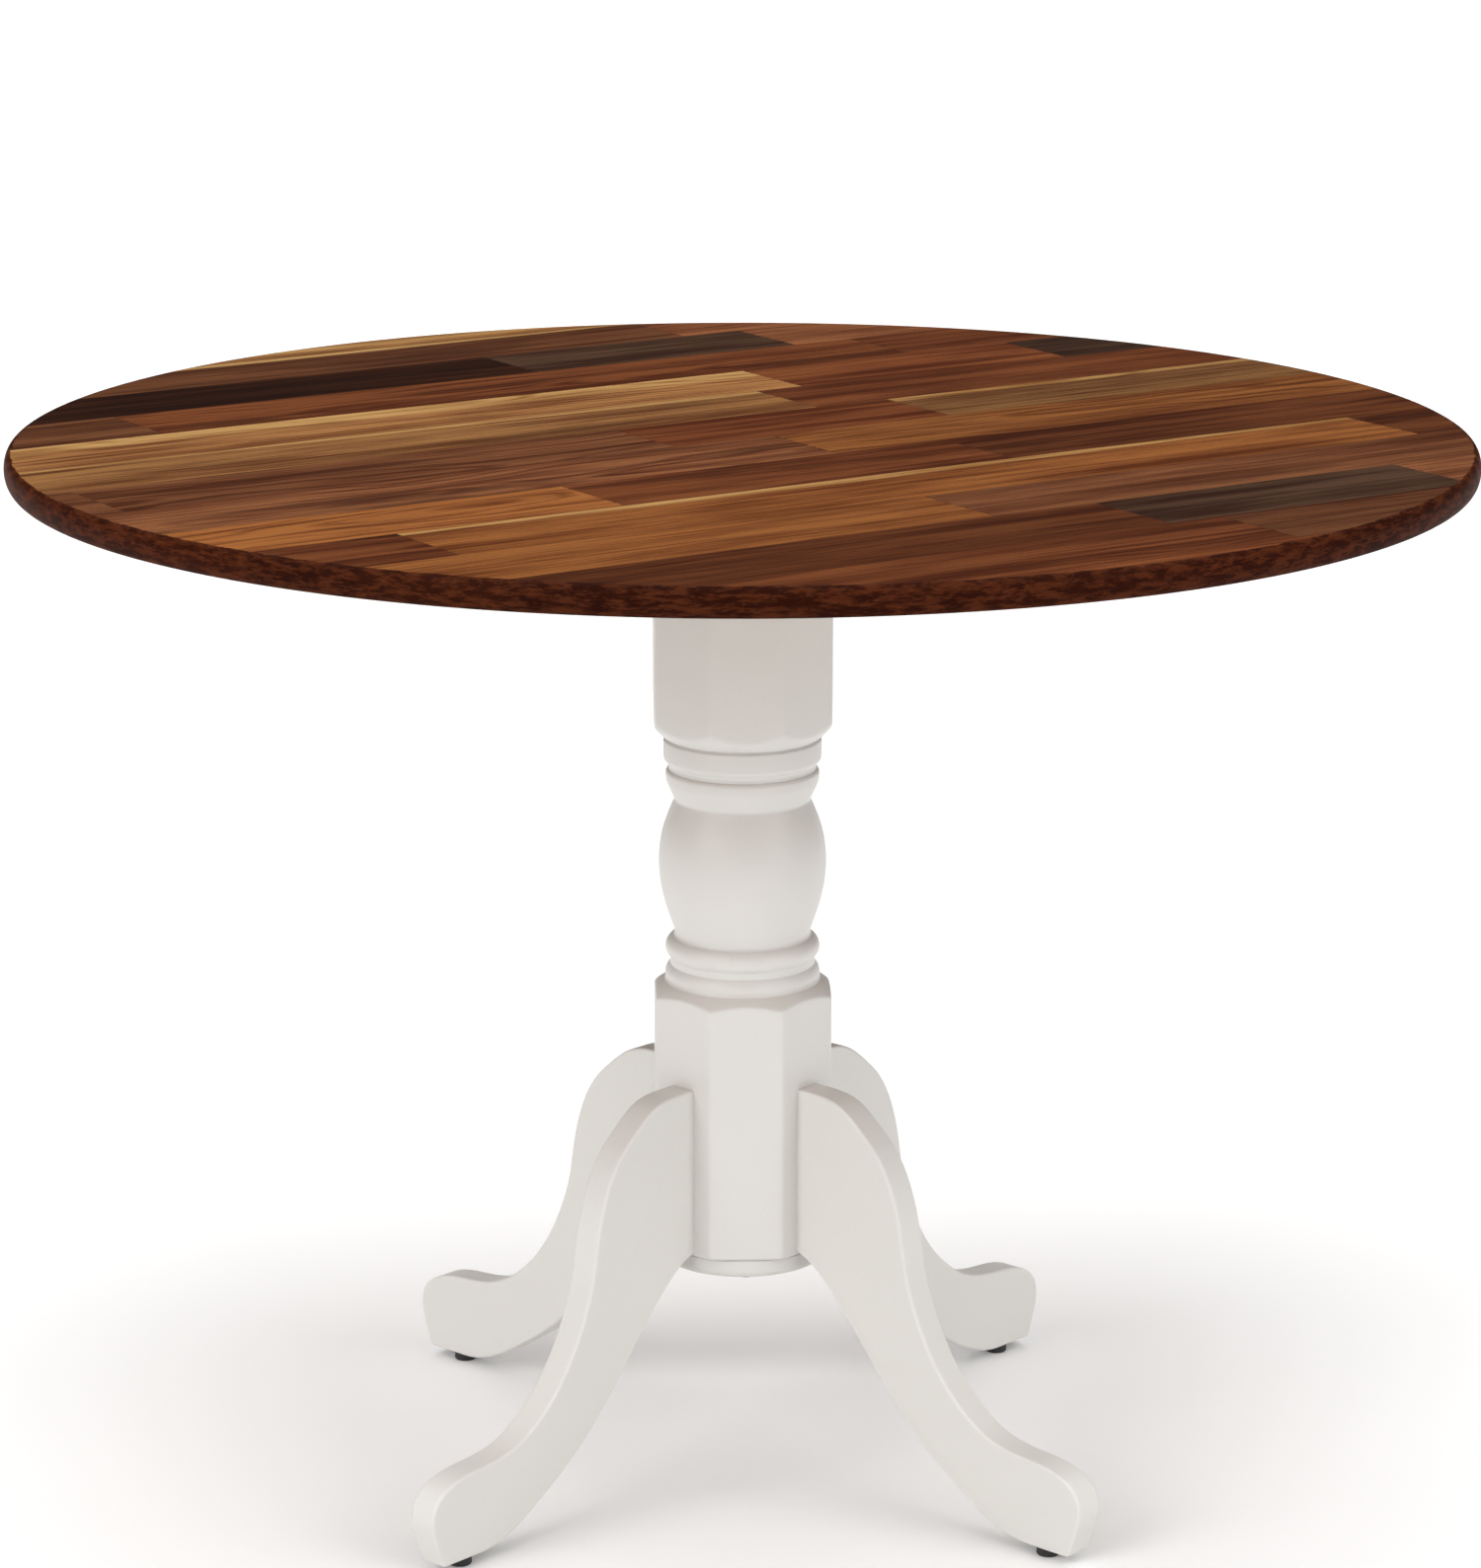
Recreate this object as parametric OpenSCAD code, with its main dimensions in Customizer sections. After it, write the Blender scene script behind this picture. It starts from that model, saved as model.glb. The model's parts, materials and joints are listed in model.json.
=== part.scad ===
// Tilt top table: a round butcher-block top that tips upright on an eight-sided turned column
// with four cabriole legs. Millimetres, +Z up, origin on the column's axis at floor level.
// The legs stand on the diagonals. The top, its battens, block and catch are turned together, so
// that the battens cross the grain: in their own frame +X is the side that swings down, and the
// pivots lie along Y, which is also the way of the grain.

/* [Table] */
// Diameter of the top
top_d = 1016; // [900:1:1150]
// Height from the floor to the top's upper face
table_h = 748; // [725:1:770]
// Thickness of the top
top_t = 20; // [18:1:26]
// How far the rounded edge of the top bulges out
edge_bulge = 5; // [3:0.5:7]
// Direction of the grain, seen from above, from +X
grain_turn = 30; // [0:5:90]
// Angle of the top: 0 is level, 90 is upright
tilt = 0; // [0:5:90]

/* [Column] */
// Width of the eight-sided column across its flats
column_w = 125; // [120:1:132]
// Height of the underside of the lower eight-sided block
column_z = 167.5; // [160:0.5:172]
// Thickness of the turned cap under the column
cap_t = 14; // [10:1:16]
// Width of the square bolt chamber bored up from below
chamber_w = 64; // [60:1:68]

/* [Legs] */
// Thickness of the boards that the legs are sawn from
leg_t = 22; // [20:1:26]
// Distance from the column's axis to the centre of each glide
glide_r = 287; // [275:1:295]
// Diameter of the glides
glide_d = 16; // [14:1:20]
// Thickness of the glides, which is the gap under the legs
glide_t = 7; // [6:0.5:8]
// How far each glide is screwed out
glide_out = 0; // [0:1:8]

/* [Tilt block and battens] */
// Length of the block, from the catch end to the pivot end
block_l = 245; // [235:1:255]
// Width of the block
block_w = 180; // [170:1:190]
// Thickness of the block
block_t = 35; // [32:1:40]
// Distance from the column's axis to the pivots
pivot_x = 108; // [104:1:112]
// Length of the battens
batten_l = 700; // [600:10:740]
// Thickness of the battens
batten_t = 22; // [20:1:26]
// Depth of the battens below the top
batten_h = 40; // [38:1:44]

/* [Catch] */
// Diameter of the catch bolt
bolt_d = 10; // [8:1:10]
// How far the catch bolt slides out, from drawn back to latched
bolt_out = 0; // [0:1:14]

/* [Hidden] */
$fn = 64;
paint = [0.85, 0.83, 0.80];
walnut = [0.36, 0.21, 0.13];
birch = [0.78, 0.65, 0.48];
brass = [0.78, 0.62, 0.32];
steel = [0.70, 0.71, 0.73];
black = [0.06, 0.06, 0.06];
felt = [0.24, 0.33, 0.26];

// Heights
top_z = table_h - top_t;
felt_t = 1.5;
block_top = top_z - felt_t;
block_z = block_top - block_t;
pivot_z = block_z + block_t / 2;
cap_z = column_z - cap_t;

// Column outline
flat_r = column_w / 2;
corner_r = flat_r / cos(22.5);
neck_r = 48;
bulb_r = 59.4;
bead_r = 54.6;
groove_r = 51.5;
collar_r = 55.9;
dome_z = 358.7;
head_z = 536;
dome_turn_r = 60;
head_turn_r = 40;

// Leg bolts: hanger bolts, with nuts in the chamber
leg_bolt_z = [190, 262];
leg_bolt_r = 4;
bolt_in = 46;
washer_r = 10;
washer_t = 1.6;
nut_w = 13;
nut_t = 6.5;
chamber_top = 285;

// Glides
glide_stem_r = 3;
glide_stem_l = 24;
insert_r = 5;
insert_l = 20;

// Screws
screw_gap = 0.1;
sink_h = 4;
cap_screw_r = 2;
cap_screw_l = 30;
cap_screw_at = 54;
block_screw_r = 3.5;
block_screw_l = 85;
block_screw_at = 34;
batten_screw_r = 2.25;
batten_screw_l = 46;
batten_screw_x = [-270, -150, -20, 60, 160, 270];
small_screw_r = 1.75;
small_screw_l = 16;

// Pivots
bush_gap = 1;
bush_r = 8;
flange_r = 12;
shoulder_r = 6;
running_gap = 0.05;
pivot_thread_r = 4;
pivot_thread_l = 28;
pivot_insert_r = 7;
pivot_insert_l = 24;
pivot_head_r = 10;
pivot_head_t = 6;
batten_y = block_w / 2 + bush_gap;
batten_mid = batten_y + batten_t / 2;
batten_tip = 22;

// Catch, from its nose backwards along -X
block_end = pivot_x + block_t / 2 - block_l;
catch_gap = 4;
barrel_x = block_end - catch_gap;
barrel_r = 11;
barrel_l = 64;
catch_z = top_z - 13;
nose_wall = 8;
chamber_r = 7.5;
plug_l = 6;
piston_r = 7.35;
piston_l = 20;
piston_x = barrel_x - 24;
bolt_nose = barrel_x + 2;
bolt_r = bolt_d / 2;
knob_x = piston_x - piston_l / 2;
knob_stem_r = 2.5;
slot_w = 5.8;
bolt_travel = 14;
plate_l = 70;
plate_w = 56;
plate_t = 3;
plate_hole_x = 28;
plate_hole_y = 21;
strike_w = 56;
strike_h = 26;
strike_t = 2;
strike_hole_y = 21;
strike_bore = 18;

LEFT_FRONT = 225;
RIGHT_FRONT = 315;
RIGHT_BACK = 45;
LEFT_BACK = 135;
LEG_TURNS = [LEFT_FRONT, RIGHT_FRONT, RIGHT_BACK, LEFT_BACK];
QUARTERS = [0, 90, 180, 270];

// ---- shared shapes and placements ----

// Point t of the way along a cubic curve through four control points
function curve(a, b, c, d, t) =
    (1 - t) ^ 3 * a + 3 * t * (1 - t) ^ 2 * b + 3 * t ^ 2 * (1 - t) * c + t ^ 3 * d;

// Smooth line through nodes of [x, y, heading, reach], in n steps between each two
function flow(nodes, n) = [
    for (i = [0:len(nodes) - 2], k = [0:n - 1])
        let (p = nodes[i], q = nodes[i + 1])
            curve(
                [p[0], p[1]],
                [p[0] + p[3] * cos(p[2]), p[1] + p[3] * sin(p[2])],
                [q[0] - q[3] * cos(q[2]), q[1] - q[3] * sin(q[2])],
                [q[0], q[1]],
                k / n
            )
];

// Points of an arc, from angle a to angle b
function arc(x, y, r, a, b, n) = [for (k = [0:n]) let (t = a + (b - a) * k / n) [x + r * cos(t), y + r * sin(t)]];

module octagon(w) {
    rotate(22.5)
        circle(r = w / 2 / cos(22.5), $fn = 8);
}

// Turns from the upper parts' own frame into the table's
module on_top() {
    rotate(grain_turn - 90)
        children();
}

// Swings what is fixed to the top about the pivots
module tilted() {
    on_top()
        translate([pivot_x, 0, pivot_z])
            rotate([0, tilt, 0])
                translate([-pivot_x, 0, -pivot_z])
                    children();
}

module on_leg(turn) {
    rotate(turn)
        children();
}

// Rod along +X, starting at x
module rod_x(x, y, z, r, l) {
    translate([x, y, z])
        rotate([0, 90, 0])
            cylinder(r = r, h = l);
}

// Rod along +Y, starting at y
module rod_y(x, y, z, r, l) {
    translate([x, y, z])
        rotate([-90, 0, 0])
            cylinder(r = r, h = l);
}

// Countersunk wood screw, with its flat head at z = 0 and its point down
module wood_screw(r, l) {
    sink = min(sink_h, r * 1.25);
    rotate_extrude()
        polygon([[0, 0], [2 * r, 0], [r, -sink], [r, -l + 2 * r], [0, -l]]);
}

// Hole that a countersunk screw fits in
module screw_hole(r, l) {
    g = r + screw_gap;
    sink = min(sink_h, r * 1.25);
    rotate_extrude()
        polygon([[0, 0.5], [2 * r, 0.5], [2 * r, 0], [g, -sink], [g, -l - 1], [0, -l - 1]]);
}

module hex_nut(w, h, bore) {
    difference() {
        cylinder(r = w / 2 / cos(30), h = h, $fn = 6);
        translate([0, 0, -1])
            cylinder(r = bore, h = h + 2);
    }
}

// ---- column ----

// Outline of the turning that, cut down to eight sides, leaves the two blocks and the turned
// middle: heights are counted up from the dome and down from the head
function turned_outline() = concat(
    [[0, column_z], [corner_r + 1, column_z], [corner_r + 1, dome_z - 11]],
    arc(corner_r - 40.8, dome_z - 53, dome_turn_r, 46.5, 62, 5),
    arc(bead_r - 9.6, dome_z + 4.5, 10, 0, 50, 6),
    [[groove_r, dome_z + 12.6], [groove_r, dome_z + 14]],
    arc(bead_r - 8.2, dome_z + 24, 8.4, -58, 74, 8),
    flow([[neck_r, dome_z + 35.8, 70, 16], [bulb_r, dome_z + 86.3, 90, 20], [neck_r, head_z - 45.5, 114, 14]], 11),
    flow([[neck_r, head_z - 45.5, 64, 5], [bead_r - 0.3, head_z - 30, 82, 4]], 5),
    arc(bead_r - 3.7, head_z - 26.6, 3.4, 0, 76, 4),
    [[groove_r + 0.5, head_z - 22.6], [groove_r + 0.5, head_z - 19.4]],
    arc(collar_r - 4, head_z - 14.5, 4, -78, 0, 5),
    [[collar_r, head_z - 2.2], [collar_r - 2.8, head_z - 1.6], [collar_r - 2.8, head_z]],
    arc(corner_r - 35.7, head_z + 32.4, head_turn_r, -54, -25.7, 6),
    [[corner_r + 1, head_z + 16], [corner_r + 1, block_z], [0, block_z]]
);

module column() {
    color(paint)
        difference() {
            intersection() {
                rotate_extrude()
                    polygon(turned_outline());
                translate([0, 0, column_z])
                    linear_extrude(block_z - column_z)
                        octagon(column_w);
            }
            // Bolt chamber
            rotate(45)
                translate([-chamber_w / 2, -chamber_w / 2, column_z - 1])
                    cube([chamber_w, chamber_w, chamber_top - column_z + 1]);
            for (turn = LEG_TURNS, z = leg_bolt_z)
                rotate(turn)
                    rod_x(chamber_w / 2 - 2, 0, z, leg_bolt_r + screw_gap, flat_r - chamber_w / 2 + 4);
            for (turn = QUARTERS)
                rotate(turn)
                    translate([cap_screw_at, 0, column_z - 1])
                        cylinder(r = cap_screw_r + screw_gap, h = cap_screw_l);
            on_top()
                block_screw_places()
                    translate([0, 0, -block_screw_l - 1])
                        cylinder(r = block_screw_r + screw_gap, h = block_screw_l);
        }
}

// Turned cap that closes the chamber
module base_cap() {
    lip = 5;
    color(paint)
        difference() {
            translate([0, 0, cap_z])
                rotate_extrude()
                    polygon(concat(
                        [[0, 0]],
                        arc(flat_r - 1.5 - lip, lip, lip, -90, 0, 8),
                        [[flat_r - 1.5, cap_t - 1.5], [flat_r - 3, cap_t], [0, cap_t]]
                    ));
            cap_screw_places()
                screw_hole(cap_screw_r, cap_screw_l);
        }
}

module cap_screw_places() {
    for (turn = QUARTERS)
        rotate(turn)
            translate([cap_screw_at, 0, cap_z])
                rotate([180, 0, 0])
                    children();
}

module cap_screws() {
    color(steel)
        cap_screw_places()
            wood_screw(cap_screw_r, cap_screw_l - 2);
}

// ---- legs ----

// Side view of a leg: distance from the column's axis, height, heading and reach
knee = flow([
    [flat_r, 290.5, 0, 37],
    [129, 266, -41, 36],
    [163.5, 181, -79.5, 20],
    [208, 98, -43, 35],
    [279, 69, -3.5, 30],
    [321, 29, -106, 29]
], 9);
toe = [[321, 29], [314, 9.5], [311.5, glide_t]];
sole = flow([
    [279, glide_t, 180, 26],
    [202, 40, 147, 38],
    [129, 109, 130.5, 31],
    [flat_r, 169.5, 164, 23]
], 9);
root = [[flat_r, 169.5]];

module leg(turn) {
    color(paint)
        difference() {
            on_leg(turn)
                rotate([90, 0, 0])
                    translate([0, 0, -leg_t / 2])
                        linear_extrude(leg_t)
                            polygon(concat(knee, toe, sole, root));
            on_leg(turn) {
                for (z = leg_bolt_z)
                    rod_x(flat_r - 1, 0, z, leg_bolt_r + screw_gap, bolt_in + 4);
                translate([glide_r, 0, glide_t - 1])
                    cylinder(r = insert_r + screw_gap, h = insert_l + 1);
                translate([glide_r, 0, glide_t])
                    cylinder(r = glide_stem_r + 0.3, h = glide_stem_l + 6);
            }
        }
}

module leg_front_left() { leg(LEFT_FRONT); }
module leg_front_right() { leg(RIGHT_FRONT); }
module leg_back_right() { leg(RIGHT_BACK); }
module leg_back_left() { leg(LEFT_BACK); }

// Distance from the axis at which the bolts begin, inside their nuts
bolt_start = chamber_w / 2 - washer_t - nut_t - 3;

module leg_bolts() {
    color(steel)
        for (turn = LEG_TURNS, z = leg_bolt_z)
            rotate(turn)
                rod_x(bolt_start, 0, z, leg_bolt_r, flat_r + bolt_in - bolt_start);
}

module leg_washers() {
    color(steel)
        for (turn = LEG_TURNS, z = leg_bolt_z)
            rotate(turn)
                difference() {
                    rod_x(chamber_w / 2 - washer_t, 0, z, washer_r, washer_t);
                    rod_x(chamber_w / 2 - washer_t - 1, 0, z, leg_bolt_r + screw_gap, washer_t + 2);
                }
}

module leg_nuts() {
    color(steel)
        for (turn = LEG_TURNS, z = leg_bolt_z)
            rotate(turn)
                translate([chamber_w / 2 - washer_t - nut_t, 0, z])
                    rotate([0, 90, 0])
                        hex_nut(nut_w, nut_t, leg_bolt_r + screw_gap);
}

// ---- levelling glides ----

module glide_inserts() {
    color(brass)
        for (turn = LEG_TURNS)
            on_leg(turn)
                translate([glide_r, 0, glide_t])
                    difference() {
                        cylinder(r = insert_r, h = insert_l - 1);
                        translate([0, 0, -1])
                            cylinder(r = glide_stem_r + running_gap, h = insert_l + 1);
                    }
}

module glide(turn) {
    color(black)
        on_leg(turn)
            translate([glide_r, 0, -glide_out])
                difference() {
                    rotate_extrude()
                        polygon(concat(
                            [[0, 0], [glide_d / 2 - 1.5, 0]],
                            arc(glide_d / 2 - 1.5, 1.5, 1.5, -60, 0, 4),
                            [[glide_d / 2, glide_t - 1], [glide_d / 2 - 1, glide_t], [0, glide_t]]
                        ));
                    translate([0, 0, 2])
                        cylinder(r = glide_stem_r, h = glide_t);
                }
}

module glide_front_left() { glide(LEFT_FRONT); }
module glide_front_right() { glide(RIGHT_FRONT); }
module glide_back_right() { glide(RIGHT_BACK); }
module glide_back_left() { glide(LEFT_BACK); }

module stem(turn) {
    color(steel)
        on_leg(turn)
            translate([glide_r, 0, 2 - glide_out])
                rotate_extrude()
                    polygon([[0, 0], [glide_stem_r, 0], [glide_stem_r, glide_stem_l], [2, glide_stem_l + 1],
                        [0, glide_stem_l + 1]]);
}

module stem_front_left() { stem(LEFT_FRONT); }
module stem_front_right() { stem(RIGHT_FRONT); }
module stem_back_right() { stem(RIGHT_BACK); }
module stem_back_left() { stem(LEFT_BACK); }

// ---- block on the column ----

module block_screw_places() {
    for (x = [-block_screw_at, block_screw_at], y = [-block_screw_at, block_screw_at])
        translate([x, y, block_top])
            children();
}

// The corner by the pivots is round, so that the top can turn over it, and the one below it is
// square, so that the top comes to a stop against the block's end
module tilt_block() {
    nose = block_t / 2;
    color(birch)
        on_top()
            difference() {
                translate([0, block_w / 2, 0])
                    rotate([90, 0, 0])
                        linear_extrude(block_w)
                            polygon(concat(
                                [[block_end, block_z + 4], [block_end + 4, block_z], [pivot_x + nose, block_z]],
                                arc(pivot_x, pivot_z, nose, 0, 90, 12),
                                [[block_end + 2, block_top], [block_end, block_top - 2]]
                            ));
                block_screw_places()
                    screw_hole(block_screw_r, block_screw_l);
                for (side = [-1, 1])
                    rod_y(pivot_x, side > 0 ? block_w / 2 - pivot_thread_l - 4 : -block_w / 2 - 1, pivot_z,
                        pivot_insert_r + screw_gap, pivot_thread_l + 5);
                // Bore for the catch bolt, and seats for the strike plate and its screws
                rod_x(block_end - 1, 0, catch_z, bolt_r + 0.6, strike_bore + 1);
                translate([block_end - 1, -strike_w / 2 - screw_gap, block_top - strike_h])
                    cube([strike_t + 1, strike_w + 2 * screw_gap, strike_h + 1]);
                strike_screw_places()
                    translate([0, 0, 1])
                        cylinder(r = small_screw_r + screw_gap, h = small_screw_l + 1);
            }
}

module block_screws() {
    color(steel)
        on_top()
            block_screw_places()
                wood_screw(block_screw_r, block_screw_l - 2);
}

// Felt discs: two under the top at the catch end, two on the end face that the upright top meets
module felt_pads() {
    pad_r = 8;
    color(felt)
        on_top()
            for (y = [-60, 60]) {
                translate([block_end + 20, y, block_top])
                    cylinder(r = pad_r, h = felt_t);
                rod_x(pivot_x + block_t / 2, y, pivot_z - 8.5, pad_r, felt_t);
            }
}

module pivot_inserts() {
    color(brass)
        on_top()
            for (side = [-1, 1])
                difference() {
                    rod_y(pivot_x, side > 0 ? block_w / 2 - pivot_insert_l : -block_w / 2, pivot_z, pivot_insert_r,
                        pivot_insert_l);
                    rod_y(pivot_x, side > 0 ? block_w / 2 - pivot_insert_l - 1 : -block_w / 2 - 1, pivot_z,
                        pivot_thread_r + screw_gap, pivot_insert_l + 2);
                }
}

// Shoulder bolts: thread in the block, shoulder in the batten's bush, low head outside
module pivot_bolts() {
    shoulder_l = bush_gap + batten_t + 0.4;
    color(steel)
        on_top()
            for (side = [-1, 1])
                translate([pivot_x, side * block_w / 2, pivot_z])
                    rotate([-90 * side, 0, 0])
                        difference() {
                            rotate_extrude()
                                polygon([
                                    [0, -pivot_thread_l], [pivot_thread_r, -pivot_thread_l], [pivot_thread_r, 0],
                                    [shoulder_r, 0], [shoulder_r, shoulder_l], [pivot_head_r, shoulder_l],
                                    [pivot_head_r, shoulder_l + pivot_head_t - 1],
                                    [pivot_head_r - 1, shoulder_l + pivot_head_t], [0, shoulder_l + pivot_head_t]
                                ]);
                            translate([0, 0, shoulder_l + pivot_head_t - 4])
                                cylinder(r = 3.5, h = 5, $fn = 6);
                        }
}

module strike_screw_places() {
    for (y = [-strike_hole_y, strike_hole_y])
        translate([block_end, y, block_top - strike_h / 2])
            rotate([0, 90, 0])
                children();
}

module strike_plate() {
    color(brass)
        on_top()
            difference() {
                translate([block_end, -strike_w / 2, block_top - strike_h])
                    cube([strike_t, strike_w, strike_h]);
                rod_x(block_end - 1, 0, catch_z, bolt_r + 0.5, strike_t + 2);
                strike_screw_places()
                    rotate([180, 0, 0])
                        screw_hole(small_screw_r, small_screw_l);
            }
}

module strike_screws() {
    color(brass)
        on_top()
            strike_screw_places()
                rotate([180, 0, 0])
                    wood_screw(small_screw_r, small_screw_l);
}

// ---- top and battens ----

module table_top() {
    r = top_d / 2;
    edge = [for (k = [0:16]) let (a = -90 + 180 * k / 16)
        [r - edge_bulge + edge_bulge * cos(a), top_t / 2 + top_t / 2 * sin(a)]];
    color(walnut)
        tilted()
            difference() {
                translate([0, 0, top_z])
                    rotate_extrude($fn = 180)
                        polygon(concat([[0, 0]], edge, [[0, top_t]]));
                batten_screw_places()
                    translate([0, 0, batten_h - 1])
                        cylinder(r = batten_screw_r + screw_gap, h = batten_screw_l - batten_h + 2);
                catch_screw_places()
                    translate([0, 0, plate_t - 1])
                        cylinder(r = small_screw_r + screw_gap, h = small_screw_l - plate_t + 1);
            }
}

module batten_screw_places() {
    for (x = batten_screw_x, side = [-1, 1])
        translate([x, side * batten_mid, top_z - batten_h])
            children();
}

// Batten with sloped ends, screwed up into the top, with a bushed hole for its pivot
module batten(side) {
    half = batten_l / 2;
    slope = 60;
    color(birch)
        tilted()
            difference() {
                translate([0, side * batten_mid + batten_t / 2, 0])
                    rotate([90, 0, 0])
                        linear_extrude(batten_t)
                            polygon([
                                [-half, top_z], [-half, top_z - batten_tip], [-half + slope, top_z - batten_h],
                                [half - slope, top_z - batten_h], [half, top_z - batten_tip], [half, top_z]
                            ]);
                rod_y(pivot_x, side * batten_mid - batten_t / 2 - 1, pivot_z, bush_r + screw_gap, batten_t + 2);
                batten_screw_places()
                    rotate([180, 0, 0])
                        screw_hole(batten_screw_r, batten_screw_l);
            }
}

module batten_left() { batten(-1); }
module batten_right() { batten(1); }

module batten_screws() {
    color(steel)
        tilted()
            batten_screw_places()
                rotate([180, 0, 0])
                    wood_screw(batten_screw_r, batten_screw_l);
}

// Flanged bushes: the flange keeps the batten off the block
module pivot_bushes() {
    color(brass)
        tilted()
            for (side = [-1, 1])
                translate([pivot_x, side * batten_y, pivot_z])
                    rotate([-90 * side, 0, 0])
                        rotate_extrude()
                            polygon([
                                [shoulder_r + running_gap, 0.1 - bush_gap], [flange_r, 0.1 - bush_gap],
                                [flange_r, 0], [bush_r, 0], [bush_r, batten_t],
                                [shoulder_r + running_gap, batten_t]
                            ]);
}

// ---- catch ----

module catch_screw_places() {
    for (x = [-plate_hole_x, plate_hole_x], y = [-plate_hole_y, plate_hole_y])
        translate([barrel_x - barrel_l / 2 + x, y, top_z - plate_t])
            children();
}

// Mounting plate and barrel in one casting, with a slot below for the knob
module catch_case() {
    color(brass)
        tilted()
            difference() {
                union() {
                    translate([barrel_x - barrel_l / 2 - plate_l / 2, -plate_w / 2, top_z - plate_t])
                        cube([plate_l, plate_w, plate_t]);
                    rod_x(barrel_x - barrel_l, 0, catch_z, barrel_r, barrel_l);
                    translate([barrel_x - barrel_l, -barrel_r * 0.7, catch_z])
                        cube([barrel_l, barrel_r * 1.4, top_z - catch_z - 1]);
                }
                rod_x(barrel_x - nose_wall - 1, 0, catch_z, bolt_r + running_gap, nose_wall + 2);
                rod_x(barrel_x - barrel_l - 1, 0, catch_z, chamber_r, barrel_l - nose_wall + 1);
                hull()
                    for (x = [0, bolt_travel])
                        translate([knob_x + x, 0, catch_z - barrel_r - 1])
                            cylinder(r = slot_w / 2, h = barrel_r, $fn = 32);
                catch_screw_places()
                    rotate([180, 0, 0])
                        screw_hole(small_screw_r, small_screw_l);
            }
}

module catch_plug() {
    color(brass)
        tilted()
            difference() {
                rod_x(barrel_x - barrel_l, 0, catch_z, chamber_r - 0.05, plug_l);
                translate([barrel_x - barrel_l - 1, -chamber_r, catch_z - 0.75])
                    cube([3, 2 * chamber_r, 1.5]);
            }
}

module catch_screws() {
    color(brass)
        tilted()
            catch_screw_places()
                rotate([180, 0, 0])
                    wood_screw(small_screw_r, small_screw_l - 1);
}

// Spring behind the bolt: a round wire swept along its helix
module catch_spring() {
    coil_r = 5.2;
    wire_r = 0.6;
    turns = 5;
    per_turn = 18;
    sides = 6;
    back = barrel_x - barrel_l + plug_l + wire_r + 0.2;
    span = piston_x - piston_l - back - wire_r - 0.2;
    n = turns * per_turn;
    points = [
        for (i = [0:n], s = [0:sides - 1])
            let (a = 360 * i / per_turn, b = 360 * s / sides, r = coil_r + wire_r * cos(b))
                [back + span * i / n + wire_r * sin(b), r * cos(a), catch_z + r * sin(a)]
    ];
    walls = [
        for (i = [0:n - 1], s = [0:sides - 1])
            let (t = (s + 1) % sides)
                [i * sides + s, i * sides + t, (i + 1) * sides + t, (i + 1) * sides + s]
    ];
    ends = [[for (s = [sides - 1:-1:0]) s], [for (s = [0:sides - 1]) n * sides + s]];
    color(steel)
        tilted()
            polyhedron(points, concat(walls, ends));
}

// Bolt with a piston that runs in the barrel, drawn back at bolt_out = 0
module catch_bolt() {
    color(brass)
        tilted()
            translate([bolt_out, 0, 0])
                difference() {
                    union() {
                        rod_x(piston_x - 1, 0, catch_z, bolt_r, bolt_nose - piston_x - 1);
                        translate([bolt_nose - 2, 0, catch_z])
                            rotate([0, 90, 0])
                                cylinder(r1 = bolt_r, r2 = bolt_r - 1.5, h = 2);
                        rod_x(piston_x - piston_l, 0, catch_z, piston_r, piston_l);
                    }
                    translate([knob_x, 0, catch_z - piston_r - 1])
                        cylinder(r = knob_stem_r, h = piston_r + 1);
                }
}

module catch_knob() {
    color(brass)
        tilted()
            translate([knob_x + bolt_out, 0, catch_z])
                rotate([180, 0, 0])
                    rotate_extrude()
                        polygon(concat(
                            [[0, 0], [knob_stem_r, 0], [knob_stem_r, barrel_r + 2], [4, barrel_r + 3]],
                            arc(2, barrel_r + 9, 6, -45, 70, 10),
                            [[0, barrel_r + 15]]
                        ));
}

column();
base_cap();
cap_screws();
leg_front_left();
leg_front_right();
leg_back_right();
leg_back_left();
leg_bolts();
leg_washers();
leg_nuts();
glide_inserts();
glide_front_left();
glide_front_right();
glide_back_right();
glide_back_left();
stem_front_left();
stem_front_right();
stem_back_right();
stem_back_left();
tilt_block();
block_screws();
felt_pads();
pivot_inserts();
pivot_bolts();
strike_plate();
strike_screws();
table_top();
batten_left();
batten_right();
batten_screws();
pivot_bushes();
catch_case();
catch_plug();
catch_spring();
catch_screws();
catch_bolt();
catch_knob();
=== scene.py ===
import json
import math
from collections import namedtuple

import bmesh
import bpy
import numpy as np
from mathutils import Matrix, Vector


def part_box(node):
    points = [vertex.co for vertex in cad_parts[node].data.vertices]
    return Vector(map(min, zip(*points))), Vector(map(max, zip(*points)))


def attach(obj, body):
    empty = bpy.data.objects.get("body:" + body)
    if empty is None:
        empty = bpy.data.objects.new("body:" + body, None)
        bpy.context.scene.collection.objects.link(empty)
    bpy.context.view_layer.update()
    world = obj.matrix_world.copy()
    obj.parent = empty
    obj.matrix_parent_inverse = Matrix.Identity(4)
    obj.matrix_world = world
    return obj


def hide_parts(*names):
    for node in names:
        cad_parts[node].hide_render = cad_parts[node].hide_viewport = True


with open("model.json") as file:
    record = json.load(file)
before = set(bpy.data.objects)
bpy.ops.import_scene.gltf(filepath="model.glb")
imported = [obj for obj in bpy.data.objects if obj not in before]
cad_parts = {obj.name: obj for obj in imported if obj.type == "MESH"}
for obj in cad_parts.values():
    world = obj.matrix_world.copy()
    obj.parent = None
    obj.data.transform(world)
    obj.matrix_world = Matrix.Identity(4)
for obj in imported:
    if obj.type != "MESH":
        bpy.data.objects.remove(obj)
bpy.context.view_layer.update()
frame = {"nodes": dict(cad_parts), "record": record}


# ---------- places taken from the CAD model ----------

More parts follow.
